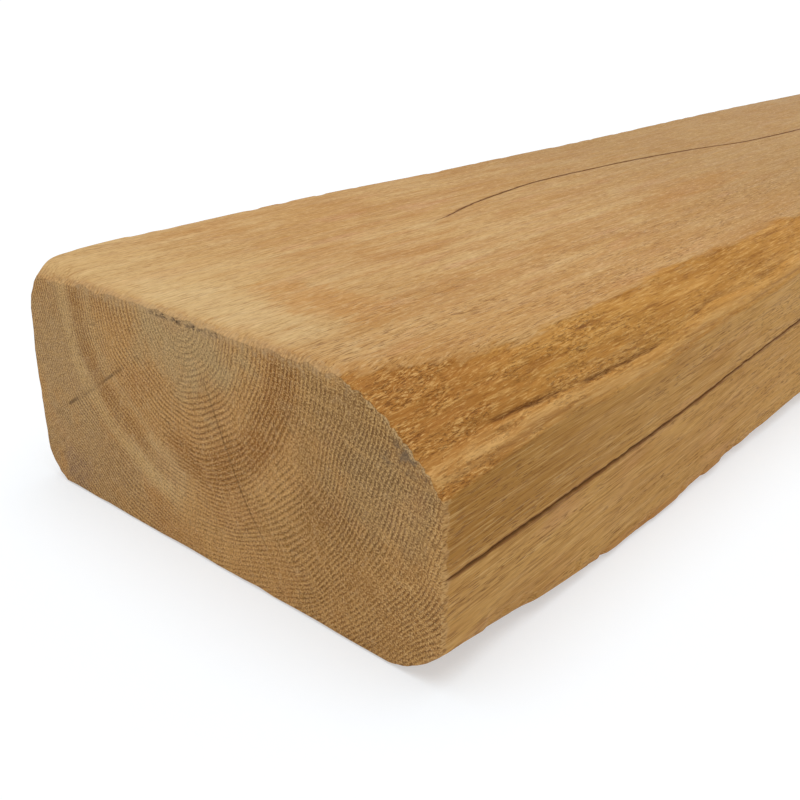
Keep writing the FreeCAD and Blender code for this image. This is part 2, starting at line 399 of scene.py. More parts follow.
def beam_points(along):
    """(x, y, z) in millimetres for every station and step, with the mesh values that go with it."""
    across, up, first, side_check, top_check = sections(along)
    out_across, out_up = outward(across, up)
    stand, marks = relief(along, across, up, first)
    hewn = marks["hewn"]
    stand = stand - nibble(along, across, up, hewn)
    worn_corner = ease(across, WIDTH - 48, WIDTH - 8) * ease(up, HEIGHT - 40, HEIGHT - 6)
    worn_corner = worn_corner * np.exp(-(along / CORNER_REACH) ** 2)[:, None]
    across = across + out_across * stand
    up = up + out_up * stand - CORNER_DROP * worn_corner

    # Painted shade in the checks: how dark each point is drawn, full at the root and a little on the lips.
    check_shade = np.zeros(across.shape)
    ragged = 0.22 * noise(along / 3, 0, 0, 41) + 0.15 * noise(along / 1.3, 0, 0, 42)
    reach = np.hypot(HEART_ACROSS, HEART_UP - side_check[0])
    side_into = (HEART_ACROSS / reach, (HEART_UP - side_check[0]) / reach)
    top_into = (np.zeros(len(along)), np.full(len(along), -1))
    for name, check, into, along_face in (("side_check", side_check, side_into, up),
                                          ("top_check", top_check, top_into, across)):
        gap, depth = check[1], check[2]
        opened = ease(depth, 0.3, 2.5)
        for step, share in ((1, 0.45), (2, 1), (3, 0.45)):
            column = first[name] + step
            across[:, column] += into[0] * depth * share
            up[:, column] += into[1] * depth * share
            check_shade[:, column] = (0.5 + 0.5 * share) * opened
        for lip in (first[name], first[name] + 4):
            check_shade[:, lip] = 0.25 * opened
            along_face[:, lip] += ragged * ease(gap, 0, 0.8)
    up = np.maximum(up, 0)
    x = np.broadcast_to(along[:, None], across.shape).copy()
    fray = noise(across / 1.8, up / 1.8, 0, 43)
    x[0] += 0.25 + 0.25 * fray[0] + 0.5 * hewn[0] * np.clip(fray[0], 0, 1)
    x[-1] -= 0.2 + 0.2 * fray[-1]
    marks["check_shade"] = check_shade
    return x, across, up, marks, first


def shake_strips():
    """Lips and root of the fine shake in the end, each from the heart outwards."""
    line = np.array(END_SHAKE)
    finer = []
    for start, finish in zip(line[:-1], line[1:]):
        count = max(1, int(round(np.hypot(*(finish - start)) / 2.5)))
        for i in range(count):
            finer.append(start + (finish - start) * i / count)
    finer = np.array(finer + [line[-1]])
    direction = np.gradient(finer, axis=0)
    direction = direction / np.hypot(direction[:, 0], direction[:, 1])[:, None]
    side = np.stack([-direction[:, 1], direction[:, 0]], axis=1)
    t = np.linspace(0, 1, len(finer))
    open_part = np.sin(math.pi * t) ** 0.5
    waver = 0.35 * noise(t * 14, 0, 0, 51)[:, None] * side
    root = finer + waver
    half = (SHAKE_GAP / 2 * open_part)[:, None]
    depth = SHAKE_DEPTH * open_part
    return root, root + side * half, root - side * half, depth


def end_cap(ring_across, ring_up, with_shake, seed):
    """Triangles that close one end inside its ring of points: new points, depths and triangles."""
    ring = np.stack([ring_across, ring_up], axis=1)
    count = len(ring)
    generator = np.random.default_rng(seed)
    step = END_POINT_STEP
    extra = []
    depths = []
    edges = [(i, (i + 1) % count) for i in range(count)]
    keep_off = []
    if with_shake:
        root, left, right, depth = shake_strips()
        start = count
        inner = len(root) - 2
        extra.extend(root.tolist())
        depths.extend(depth.tolist())
        extra.extend(left[1:-1].tolist())
        extra.extend(right[1:-1].tolist())
        depths.extend([0] * (2 * inner))
        edges.extend((start + i, start + i + 1) for i in range(len(root) - 1))
        for first_lip in (start + len(root), start + len(root) + inner):
            edges.append((start, first_lip))
            edges.extend((first_lip + i, first_lip + i + 1) for i in range(inner - 1))
            edges.append((first_lip + inner - 1, start + len(root) - 1))
        keep_off = root
    low = ring.min(axis=0)
    high = ring.max(axis=0)
    polygon = [Vector(point) for point in ring]
    rows = int((high[1] - low[1]) / (step * 0.87))
    for row in range(1, rows + 1):
        for column in range(int((high[0] - low[0]) / step) + 1):
            spot = np.array([low[0] + step * (column + 0.5 * (row % 2)), low[1] + step * 0.87 * row])
            spot = spot + generator.uniform(-0.9, 0.9, 2)
            clear = np.hypot(*(ring - spot).T).min() > 1.5
            if len(keep_off) and np.hypot(*(keep_off - spot).T).min() < 1.6:
                clear = False
            if clear and inside(spot, ring):
                extra.append(spot.tolist())
                depths.append(0.12 * (1 + float(generator.uniform(-1, 1))))
    points = polygon + [Vector(point) for point in extra]
    made = geometry.delaunay_2d_cdt(points, edges, [], 0, 1e-5)
    placed, triangles, sources = made[0], made[2], made[3]
    if len(placed) != len(points):
        raise ValueError("the end's points ran into each other")
    order = [source[0] for source in sources]
    kept = []
    for triangle in triangles:
        corners = [order[i] for i in triangle]
        middle = np.mean([points[i] for i in corners], axis=0)
        if inside(middle, ring):
            kept.append(corners)
    return np.array(extra), np.array(depths), kept


def inside(spot, ring):
    """True where the spot lies within the closed ring."""
    x, y = ring[:, 0], ring[:, 1]
    next_x, next_y = np.roll(x, -1), np.roll(y, -1)
    crosses = (y > spot[1]) != (next_y > spot[1])
    rise = np.where(next_y == y, 1, next_y - y)
    reach = x + (spot[1] - y) / rise * (next_x - x)
    return bool(np.count_nonzero(crosses & (reach > spot[0])) % 2)


def to_frame(x, across, up):
    """Points of the beam in metres, in the shared frame."""
    return np.stack([LOW.x + np.asarray(x) * MM, LOW.y + np.asarray(across) * MM,
                     LOW.z + np.asarray(up) * MM], axis=-1)


def point_value(mesh, name, values):
    """Stores one number for each point of a mesh."""
    layer = mesh.attributes.new(name, "FLOAT", "POINT")
    layer.data.foreach_set("value", np.asarray(values, np.float32))


def bake_layout(mesh, along, way, ring_of, step_of, cap_places, face_kinds):
    """Lays every face on one flat map: long faces as strips, the ends side by side under them."""
    layer = mesh.uv_layers.new(name="OFBake")
    loops = len(mesh.loops)
    points = np.zeros(loops, np.int32)
    mesh.loops.foreach_get("vertex_index", points)
    spots = np.zeros((loops, 2))
    corner, size = LONG_FACE_MAP
    steps = len(way) - 1
    for polygon, kind in zip(mesh.polygons, face_kinds):
        corners = slice(polygon.loop_start, polygon.loop_start + polygon.loop_total)
        chosen = points[corners]
        if kind == 0:
            columns = step_of[chosen]
            if columns.max() - columns.min() > 1:
                columns = np.where(columns == 0, steps, columns)
            u = corner[0] + size[0] * along[ring_of[chosen]] / LENGTH
            v = corner[1] + size[1] * way[columns] / way[-1]
        else:
            left, broad = END_MAPS[kind]
            u = left + cap_places[chosen, 0] * (broad / WIDTH)
            v = END_MAP_FOOT + cap_places[chosen, 1] * (broad / WIDTH)
        spots[corners, 0] = u
        spots[corners, 1] = v
    layer.data.foreach_set("uv", spots.astype(np.float32).ravel())


def make_beam():
    """The whole beam as one closed mesh."""
    along = stations()
    x, across, up, marks, first = beam_points(along)
    station_count, step_count = across.shape
    skin = to_frame(x, across, up).reshape(-1, 3)
    here = np.arange(station_count * step_count).reshape(station_count, step_count)
    after = np.roll(here, -1, axis=1)
    quads = np.stack([here[:-1], here[1:], after[1:], after[:-1]], axis=-1).reshape(-1, 4)
    faces = quads.tolist()
    kinds = [0] * len(faces)

    extra_points = []
    extra_places = []
    places = np.zeros((len(skin), 2))
    places[:step_count] = np.stack([across[0], up[0]], axis=1)
    places[-step_count:] = np.stack([across[-1], up[-1]], axis=1)
    base_count = len(skin)
    for kind, row, sign in ((1, 0, 1), (2, station_count - 1, -1)):
        new, depths, triangles = end_cap(across[row], up[row], kind == 1, 60 + kind)
        face_at = NEAR_END_SET_IN if kind == 1 else LENGTH - FAR_END_SET_IN
        start = base_count + sum(len(points) for points in extra_points)
        extra_points.append(to_frame(face_at + sign * depths, new[:, 0], new[:, 1]))
        extra_places.append(new)
        for corners in triangles:
            named = [row * step_count + i if i < step_count else start + i - step_count
                     for i in corners]
            faces.append(named if sign < 0 else named[::-1])
            kinds.append(kind)
    points = np.concatenate([skin] + extra_points)
    places = np.concatenate([places] + extra_places)

    mesh = bpy.data.meshes.new("oak_beam_wood")
    mesh.from_pydata(points.tolist(), [], faces)
    mesh.validate()
    padding = len(points) - base_count
    for name, values in marks.items():
        point_value(mesh, name, np.concatenate([values.ravel(), np.zeros(padding)]))
    mesh.attributes.new("end_grain", "FLOAT", "FACE").data.foreach_set(
        "value", np.array([1 if kind else 0 for kind in kinds], np.float32))
    way = walk(across, up).mean(axis=0)
    closing = np.hypot(across[:, 0] - across[:, -1], up[:, 0] - up[:, -1]).mean()
    way = np.append(way, way[-1] + closing)
    ring_of = np.concatenate([np.repeat(np.arange(station_count), step_count), np.zeros(padding, int)])
    step_of = np.concatenate([np.tile(np.arange(step_count), station_count), np.zeros(padding, int)])
    bake_layout(mesh, along, way, ring_of, step_of, places, kinds)
    set_shading(mesh, kinds)
    return put_in_scene("oak_beam_wood", mesh), across, up, along, first


def set_shading(mesh, kinds):
    """Smooth along the faces, flat on the sawn ends, and sharp where faces meet at an angle."""
    mesh.polygons.foreach_set("use_smooth", np.array([kind == 0 for kind in kinds]))
    mesh.set_sharp_from_angle(angle=math.radians(SHARP_ANGLE))
    mesh.update()


# Node trees and finishes

WHITE = (1, 1, 1, 1)

# Stains as middle, reach, share and colour. On the sawn end the places are (across, up), on the top
# (along, across).
HEART_STAIN = ((120, 94), (34, 27))
STAINS_UNDER_BANDS = (
    ((200, 62), (34, 36), 1, (176, 138, 91)),
    ((140, 32), (22, 15), 1, (206, 168, 116)),
    ((190, 20), (46, 22), 0.7, (164, 129, 86)),
)
STAINS_OVER_BANDS = (
    ((46, 44), (20, 13), 0.75, (132, 86, 40)),
    ((34, 80), (34, 24), 0.68, (136, 100, 58)),
    ((38, 24), (48, 30), 0.7, (162, 114, 58)),
    ((24, 60), (24, 20), 0.6, (150, 119, 79)),
)
PLUM_STAIN = (((202, 10), (13, 11), 0.5, (128, 98, 84)),)
TOP_STAINS = (
    ((17, 112), (16, 62), 0.42, (218, 188, 136)),
    ((46, 92), (17, 34), 0.6, (190, 134, 68)),
    ((235, 82), (120, 9), 0.45, (180, 128, 66)),
    ((335, 88), (60, 15), 0.45, (180, 128, 66)),
    ((70, 62), (70, 7), 0.45, (180, 128, 66)),
)

# Bands round the heart: middle and half width, on the near side or not, share and colour.
RING_BANDS = (
    (54.5, 11, True, 0.95, (150, 94, 36)),
    (67, 6.5, False, 0.8, (154, 104, 50)),
    (57.5, 3, False, 0.5, (198, 158, 104)),
    (76.5, 5.5, False, 0.62, (204, 166, 110)),
    (82, 4, True, 0.40, (194, 150, 92)),
)

# The fainter shake towards the far side, drawn only as a dark line of painted shade: two stretches and
# their reach.
FAR_SHAKE = (((201.6, 41), (178, 55.5), 1.2), ((178, 55.5), (158.2, 68.4), 1))
HEART_SLIT = ((136, 95.9), (99, 95.3), 1.5)


def tone(red, green, blue):
    """A colour from its everyday 0 to 255 values."""
    parts = [value / 255 for value in (red, green, blue)]
    plain = [part / 12.92 if part <= 0.04045 else ((part + 0.055) / 1.055) ** 2.4 for part in parts]
    return (*plain, 1)


class NodeTree:
    """A node tree whose nodes are joined as they are made."""

    def __init__(self, tree):
        self.tree = tree
        tree.nodes.clear()

    def node(self, kind, inputs=None, **settings):
        made = self.tree.nodes.new(kind)
        for key, value in settings.items():
            setattr(made, key, value)
        for key, value in (inputs or {}).items():
            if isinstance(value, bpy.types.NodeSocket):
                self.tree.links.new(value, made.inputs[key])
            else:
                made.inputs[key].default_value = value
        return made

    def out(self, kind, inputs=None, **settings):
        return self.node(kind, inputs, **settings).outputs[0]

    def math(self, operation, *values):
        return self.out("ShaderNodeMath", dict(enumerate(values)), operation=operation)

    def add(self, first, second):
        return self.math("ADD", first, second)

    def less(self, first, second):
        return self.math("SUBTRACT", first, second)

    def times(self, first, second):
        return self.math("MULTIPLY", first, second)

    def times_add(self, first, second, third):
        return self.math("MULTIPLY_ADD", first, second, third)

    def seen_directly(self):
        """1 where a thing is seen, mirrored or seen through glass, 0 where it only gives light."""
        rays = self.node("ShaderNodeLightPath").outputs
        clear = self.math("MAXIMUM", rays["Is Glossy Ray"], rays["Is Transmission Ray"])
        return self.math("MAXIMUM", rays["Is Camera Ray"], clear)


class Finish(NodeTree):
    """A material, built up node by node."""

    def __init__(self, name):
        self.material = bpy.data.materials.new(name)
        self.material.use_nodes = True
        super().__init__(self.material.node_tree)

    def remap(self, value, low, high, to_low=0, to_high=1, smooth=True):
        kind = "SMOOTHSTEP" if smooth else "LINEAR"
        inputs = {"Value": value, "From Min": low, "From Max": high, "To Min": to_low, "To Max": to_high}
        return self.out("ShaderNodeMapRange", inputs, interpolation_type=kind)

    def swing(self, value, reach, low=0.2, high=0.8):
        """Noise spread evenly from -reach to reach."""
        return self.remap(value, low, high, -reach, reach, False)

    def stretch(self, vector, scale, shift):
        inputs = {0: vector, 1: scale, 2: shift}
        return self.out("ShaderNodeVectorMath", inputs, operation="MULTIPLY_ADD")

    def noise(self, vector, long, fine, shift, detail=2, rough=0.5):
        """Noise from 0 to 1 whose grains are this long along the beam and this fine across it."""
        scale = (1 / long, 1 / fine, 1 / fine)
        placed = self.stretch(vector, scale, (shift, shift * 0.7, -shift))
        inputs = {"Vector": placed, "Scale": 1, "Detail": detail, "Roughness": rough}
        return self.out("ShaderNodeTexNoise", inputs)

    def value(self, name):
        return self.node("ShaderNodeAttribute", attribute_name=name).outputs["Fac"]

    def combine(self, x, y, z):
        return self.out("ShaderNodeCombineXYZ", {0: x, 1: y, 2: z})

    def length(self, x, y):
        flat = self.combine(x, y, 0)
        return self.node("ShaderNodeVectorMath", {0: flat}, operation="LENGTH").outputs["Value"]

    def weighed(self, *parts):
        """The sum of some values, each times its weight."""
        total = 0
        for value, weight in parts:
            total = self.times_add(value, weight, total)
        return total

    def mix(self, factor, first, second):
        made = self.node("ShaderNodeMix", {0: factor, 6: first, 7: second}, data_type="RGBA")
        return made.outputs[2]

    def lay(self, base, where, share, colour):
        """The base with a colour laid over it, as strong as the share, where it goes."""
        return self.mix(self.times(where, share), base, tone(*colour))

    def tint(self, base, *coats):
        """The base with coats laid over it in turn: what drives each, the value that leaves it out,
        the value that shows it in full, its share and its colour."""
        for value, none, full, share, colour in coats:
            base = self.mix(self.remap(value, none, full, 0, share), base, tone(*colour))
        return base

    def spot(self, x, y, middle, reach, edge):
        """1 within an oval patch round the middle, falling to 0 outside it, with a broken edge."""
        off_x = self.times(self.less(x, middle[0]), 1 / reach[0])
        off_y = self.times(self.less(y, middle[1]), 1 / reach[1])
        return self.remap(self.add(self.length(off_x, off_y), edge), 1.25, 0.45)

    def stain(self, base, stains, x, y, edge):
        """The base with oval stains laid over it in turn."""
        for middle, reach, share, colour in stains:
            base = self.lay(base, self.spot(x, y, middle, reach, edge), share, colour)
        return base

    def near_line(self, x, y, start, finish, reach):
        """1 on the straight line from start to finish, falling to 0 over the reach."""
        run = (finish[0] - start[0], finish[1] - start[1])
        size = run[0] ** 2 + run[1] ** 2
        off_x = self.less(x, start[0])
        off_y = self.less(y, start[1])
        part = self.weighed((off_x, run[0] / size), (off_y, run[1] / size))
        part = self.remap(part, 0, 1, smooth=False)
        gap_x = self.times_add(part, -run[0], off_x)
        gap_y = self.times_add(part, -run[1], off_y)
        return self.remap(self.length(gap_x, gap_y), reach, reach * 0.25)

    def surface(self, colour, rough, height, strength, depth, shine):
        """Ends the material in a matt surface with fine relief."""
        relief = self.out("ShaderNodeBump", {"Strength": strength, "Distance": depth, "Height": height})
        shader = self.out("ShaderNodeBsdfPrincipled", {
            "Base Color": colour, "Roughness": rough, "Normal": relief, "Specular IOR Level": shine})
        self.node("ShaderNodeOutputMaterial", {"Surface": shader})
        return self.material


def beam_millimetres(finish):
    """The place of each shaded point as (along, across, up), in millimetres."""
    place = finish.node("ShaderNodeTexCoord").outputs["Object"]
    corner = tuple(-value / MM for value in (LOW.x, LOW.y, LOW.z))
    return finish.stretch(place, (1 / MM,) * 3, corner)


def tree_rings(oak, place, along, across, up):
    """Distance and turn round the tree's wandering heart."""
    swing = oak.math("SINE", oak.times(along, math.pi / 560))
    arch = oak.math("SINE", oak.times(along, math.pi / 1100))
    off_across = oak.less(across, oak.times_add(swing, 28, HEART_ACROSS))
    off_up = oak.less(up, oak.times_add(arch, 12, HEART_UP))
    slow = oak.swing(oak.noise(place, 420, 46, 3.1, 1, 0.4), 4)
    quick = oak.swing(oak.noise(place, 90, 13, 7.7, 1), 0.5)
    distance = oak.add(oak.add(oak.length(off_across, off_up), slow), quick)
    return distance, oak.math("ARCTAN2", off_up, off_across)


def sawn_end_colour(oak, place, across, up, distance, turn):
    """Greyed end grain: stained bands, rings, rays, pores and dirt. Gives colour and height."""
    cloud = oak.noise(place, 60, 36, 11)
    patch = oak.noise(place, 60, 13, 13, rough=0.55)
    fleck = oak.noise(place, 8, 3.2, 15, rough=0.6)
    speck = oak.noise(place, 3, 0.62, 17, 1, 0.6)
    broken = oak.swing(patch, 0.5)

    base = oak.mix(oak.remap(cloud, 0.32, 0.68), tone(178, 126, 70), tone(192, 142, 82))
    heart = oak.spot(across, up, *HEART_STAIN, broken)
    base = oak.lay(base, heart, 1, (183, 150, 102))
    base = oak.stain(base, STAINS_UNDER_BANDS, across, up, broken)
    near_part = oak.remap(across, 150, 116)
    far_part = oak.remap(across, 112, 148)
    patchy = oak.remap(patch, 0.28, 0.58, 0.5, 1)
    for middle, reach, on_near_side, share, colour in RING_BANDS:
        off_band = oak.math("ABSOLUTE", oak.less(distance, middle))
        band = oak.times(oak.remap(off_band, reach, reach * 0.3), patchy)
        band = oak.times(band, near_part if on_near_side else far_part)
        base = oak.lay(base, band, share, colour)
    base = oak.stain(base, STAINS_OVER_BANDS, across, up, broken)
    blush = oak.noise(place, 60, 22, 27, 1)
    base = oak.tint(base, (blush, 0.56, 0.74, 0.3, (184, 132, 84)))
    base = oak.stain(base, PLUM_STAIN, across, up, broken)

    # Rings are dark pore lines with a pale line beside each. Rays cross them, and break both up.
    closer = oak.times_add(distance, 0.001, 1)
    ring_place = oak.times_add(distance, closer, oak.swing(speck, 0.24))
    ring_wave = oak.math("PINGPONG", ring_place, RING_STEP / 2)
    shown = oak.remap(oak.noise(place, 60, 17, 23, 1), 0.30, 0.60, 0.45, 1)
    shown = oak.times(shown, oak.remap(heart, 0, 1, 1, 0.62))
    fan = oak.combine(oak.times(turn, 98), oak.times(distance, 0.045), 0)
    ray = oak.remap(oak.noise(fan, 1, 1, 19, rough=0.55), 0.51, 0.59)
    ray = oak.times(ray, oak.remap(distance, 34, 62))
    ray = oak.times(ray, oak.remap(across, 200, 95, 0.55, 1))
    pore_line = oak.times(oak.remap(ring_wave, 0.55, 0.98), shown)
    pore_line = oak.times(pore_line, oak.less(1, oak.times(ray, 0.6)))
    pale_line = oak.times(oak.remap(ring_wave, 0.42, 0.08), shown)
    base = oak.lay(base, pore_line, 0.66, (102, 70, 36))
    base = oak.lay(base, pale_line, 0.46, (220, 176, 110))
    base = oak.lay(base, ray, 0.28, (210, 164, 100))
    base = oak.tint(
        base,
        (fleck, 0.55, 0.75, 0.45, (122, 88, 50)),
        (fleck, 0.44, 0.28, 0.35, (206, 168, 118)),
        (speck, 0.52, 0.66, 0.58, (100, 66, 30)),
        (speck, 0.47, 0.33, 0.62, (226, 184, 122)))
    base = sawn_end_wear(oak, base, place, across, up, (patch, fleck, speck, broken))
    height = oak.weighed((pore_line, -0.35), (speck, -0.8), (ray, 0.15), (fleck, -0.5))
    return base, height


def sawn_end_wear(oak, base, place, across, up, noises):
    """The end's colour with its dirt, painted shade in its fine shakes and heart slit, and its frayed rim.
    """
    patch, fleck, speck, broken = noises
    dirt = oak.spot(across, up, (12, 78), (11, 7), broken)
    base = oak.lay(base, dirt, oak.remap(fleck, 0.42, 0.56, 0.12, 0.65), (100, 86, 72))
    # Painted shade: the heart slit, drawn only as a near-black line.
    slit = oak.near_line(across, up, *HEART_SLIT)
    flat_grains = oak.stretch(place, (1, 1, 2.6 / 1.1), (0, 0, 0))
    slit = oak.times(slit, oak.remap(oak.noise(flat_grains, 8, 2.6, 85, rough=0.6), 0.46, 0.52))
    base = oak.lay(base, slit, 0.92, (52, 32, 18))
    # Painted shade: the far shake as a broken dark line.
    far_shake_shade = oak.remap(patch, 0.30, 0.62, 0, 0.6)
    for start, end, reach in FAR_SHAKE:
        base = oak.lay(base, oak.near_line(across, up, start, end, reach), far_shake_shade, (70, 44, 22))
    # Painted shade along the fine shake's gap.
    for start, end in zip(END_SHAKE[:-1], END_SHAKE[1:]):
        base = oak.lay(base, oak.near_line(across, up, start, end, 0.65), 0.3, (74, 46, 24))
    fuzz = oak.add(up, oak.remap(fleck, 0.2, 0.8, -4, 4))
    base = oak.tint(base, (fuzz, HEIGHT - 6, HEIGHT + 0.5, 0.6, (196, 160, 114)))
    rim = oak.remap(oak.add(across, oak.remap(speck, 0.2, 0.8, -1.2, 1.2)), 1.2, 0.3, 0, 0.55)
    base = oak.lay(base, rim, oak.remap(fleck, 0.42, 0.55), (212, 168, 108))
    fringe = oak.remap(oak.add(oak.value("hewn"), oak.swing(fleck, 0.35)), 0.6, 0.85, 0, 0.75)
    return oak.lay(base, fringe, oak.remap(speck, 0.60, 0.48, 0.2, 1), (212, 174, 120))


def top_face_colour(oak, place, grain, along, across, shared):
    """Straw-coloured old top, browner in bands, with a crumbled end arris."""
    broad, stain, streak, blush = shared
    cloud = oak.noise(grain, 64, 24, 51, 3, 0.55)
    base = oak.mix(oak.remap(broad, 0.34, 0.66), tone(206, 167, 111), tone(195, 151, 93))
    base = oak.tint(
        base,
        (stain, 0.50, 0.72, 0.6, (180, 124, 62)),
        (stain, 0.44, 0.28, 0.4, (214, 179, 126)),
        (cloud, 0.50, 0.66, 0.5, (184, 132, 72)),
        (cloud, 0.46, 0.32, 0.5, (212, 178, 124)),
        (streak, 0.52, 0.70, 0.25, (178, 128, 72)))
    band = oak.noise(grain, 190, 9, 49)
    banded = oak.remap(along, 420, 120, 0.35, 1)
    base = oak.lay(base, oak.remap(band, 0.50, 0.66, 0, 0.45), banded, (182, 132, 74))
    base = oak.lay(base, oak.remap(band, 0.46, 0.32, 0, 0.35), banded, (218, 184, 132))
    base = oak.tint(base, (blush, 0.58, 0.74, 0.35, (202, 148, 108)))
    pale_end = oak.times(oak.remap(along, 110, 5), oak.remap(across, 40, 110))
    base = oak.lay(base, pale_end, 0.65, (214, 180, 124))
    base = oak.tint(
        base,
        (across, 85, 14, 0.5, (194, 144, 82)),
        (along, 120, 460, 0.66, (166, 130, 82)))
    ragged = oak.swing(oak.noise(place, 9, 4, 75, rough=0.6), 0.6)
    base = oak.stain(base, TOP_STAINS, along, across, ragged)
    old = oak.times(oak.remap(along, 500, 900), oak.remap(across, 110, 200))
    base = oak.lay(base, old, 0.5, (172, 138, 98))
    crumb = oak.noise(place, 5, 4, 81, rough=0.65)
    arris = oak.remap(oak.add(along, oak.swing(crumb, 4)), 7, 1.5)
    base = oak.lay(base, arris, oak.remap(crumb, 0.40, 0.62, 0.1, 0.75), (178, 128, 70))
    grit = oak.noise(grain, 4.5, 1.1, 83, rough=0.7)
    return oak.tint(
        base,
        (grit, 0.52, 0.68, 0.4, (160, 112, 58)),
        (grit, 0.46, 0.32, 0.35, (230, 196, 144)))


def side_face_colour(oak, along, across, up, shared):
    """Honey-coloured sides, darker above the near side's check and browner at the foot."""
    broad, stain, streak, blush = shared
    base = oak.mix(oak.remap(broad, 0.34, 0.66), tone(204, 156, 88), tone(192, 143, 77))
    base = oak.tint(
        base,
        (stain, 0.50, 0.72, 0.5, (176, 122, 56)),
        (blush, 0.56, 0.74, 0.4, (204, 150, 100)),
        (streak, 0.52, 0.70, 0.4, (166, 116, 52)),
        (streak, 0.44, 0.28, 0.25, (216, 170, 100)),
        (along, 110, 330, 0.45, (214, 162, 90)))
    upper = oak.times(oak.remap(up, 38, 50), oak.remap(along, 200, 0, 0.12, 1))
    base = oak.lay(base, upper, 0.68, (156, 106, 36))
    low_edge = oak.times(oak.remap(up, 9, 1), oak.remap(across, 24, 8))
    return oak.lay(base, low_edge, 0.55, (190, 122, 54))


def long_face_colour(oak, place, along, across, up, distance):
    """Long grain with soft stains and dark pore dashes. Gives colour and height."""
    sway = oak.swing(oak.noise(place, 230, 80, 73, 1), 1.4)
    lean = oak.times_add(along, -0.034, sway)
    grain = oak.out("ShaderNodeVectorMath", {0: place, 1: oak.combine(0, sway, lean)}, operation="ADD")
    broad = oak.noise(grain, 210, 34, 29)
    stain = oak.noise(grain, 74, 10, 31, 3, 0.55)
    streak = oak.noise(grain, 46, 2.6, 33, rough=0.6)
    thin = oak.noise(grain, 22, 0.62, 37, rough=0.65)
    pore = oak.noise(grain, 5.5, 0.50, 41, 1)
    pore_patch = oak.noise(grain, 70, 9, 43)
    blush = oak.noise(grain, 50, 12, 45, 1)
    shared = (broad, stain, streak, blush)

    top = oak.remap(up, HEIGHT - 9, HEIGHT - 1.5)
    side_colour = side_face_colour(oak, along, across, up, shared)
    base = oak.mix(top, side_colour, top_face_colour(oak, place, grain, along, across, shared))
    ring = oak.math("PINGPONG", distance, RING_STEP / 2)
    base = oak.tint(base, (ring, 0.2, 0.9, 0.09, (140, 92, 44)))
    fine = oak.remap(top, 0, 1, 1, 0.62)
    base = oak.lay(base, oak.remap(thin, 0.52, 0.68, 0, 0.55), fine, (138, 90, 40))
    base = oak.lay(base, oak.remap(thin, 0.46, 0.32, 0, 0.32), fine, (232, 192, 130))
    pores = oak.times(oak.remap(pore, 0.55, 0.68), oak.remap(pore_patch, 0.36, 0.62, 0.22, 1))
    pores = oak.times(pores, oak.remap(across, 52, 100, 1, 0.45))
    base = oak.lay(base, pores, 0.62, (118, 74, 34))
    frayed = oak.add(along, oak.remap(pore_patch, 0.2, 0.8, -2.5, 2.5))
    base = oak.tint(base, (frayed, 3.2, 0.6, 0.5, (196, 156, 106)))
    return base, oak.weighed((thin, 0.45), (pores, -0.4))


def hewn_colour(oak, place, along):
    """Orange-brown torn long grain on the hewn edge, with painted shade in its crease and a painted
    highlight on its ridge. Gives colour and height.
    """
    broad = oak.noise(place, 90, 11, 47)
    strand = oak.noise(place, 42, 1.9, 53, 3, 0.62)
    fibre = oak.noise(place, 8, 0.60, 57, rough=0.6)
    fray = oak.noise(place, 3.2, 0.62, 59, rough=0.7)
    cluster = oak.noise(place, 26, 8, 60)
    rough = oak.times(oak.remap(cluster, 0.40, 0.60), oak.remap(along, 170, 60, 0.35, 1))
    base = oak.mix(oak.remap(broad, 0.34, 0.66), tone(176, 121, 52), tone(195, 140, 67))
    base = oak.tint(
        base,
        (along, 78, 25, 0.75, (164, 108, 46)),
        (strand, 0.52, 0.68, 0.62, (148, 94, 36)),
        (strand, 0.46, 0.30, 0.5, (220, 170, 98)),
        (fibre, 0.54, 0.70, 0.55, (132, 82, 32)),
        (fibre, 0.46, 0.32, 0.45, (230, 184, 114)))
    dark_fray = oak.times(oak.remap(fray, 0.54, 0.66), rough)
    base = oak.lay(base, dark_fray, 0.62, (112, 66, 26))
    base = oak.lay(base, oak.remap(fray, 0.44, 0.33, 0, 0.55), rough, (230, 186, 118))
    # Painted shade: a dark brown line drawn along the crease in the hewn face.
    crease = oak.remap(oak.value("crease"), 0.3, 0.9)
    base = oak.lay(base, crease, oak.remap(fibre, 0.42, 0.56, 0.25, 0.8), (108, 64, 26))
    # Painted highlight: a pale streak along the raised ridge of the hewn face, where it catches the light.
    ridge = oak.times(oak.value("ridge"), oak.remap(strand, 0.60, 0.40, 0.3, 1))
    base = oak.lay(base, ridge, oak.remap(along, 260, 50, 0.35, 0.75), (220, 172, 106))
    return base, oak.weighed((strand, -0.8), (fibre, -0.64), (dark_fray, -1.6))


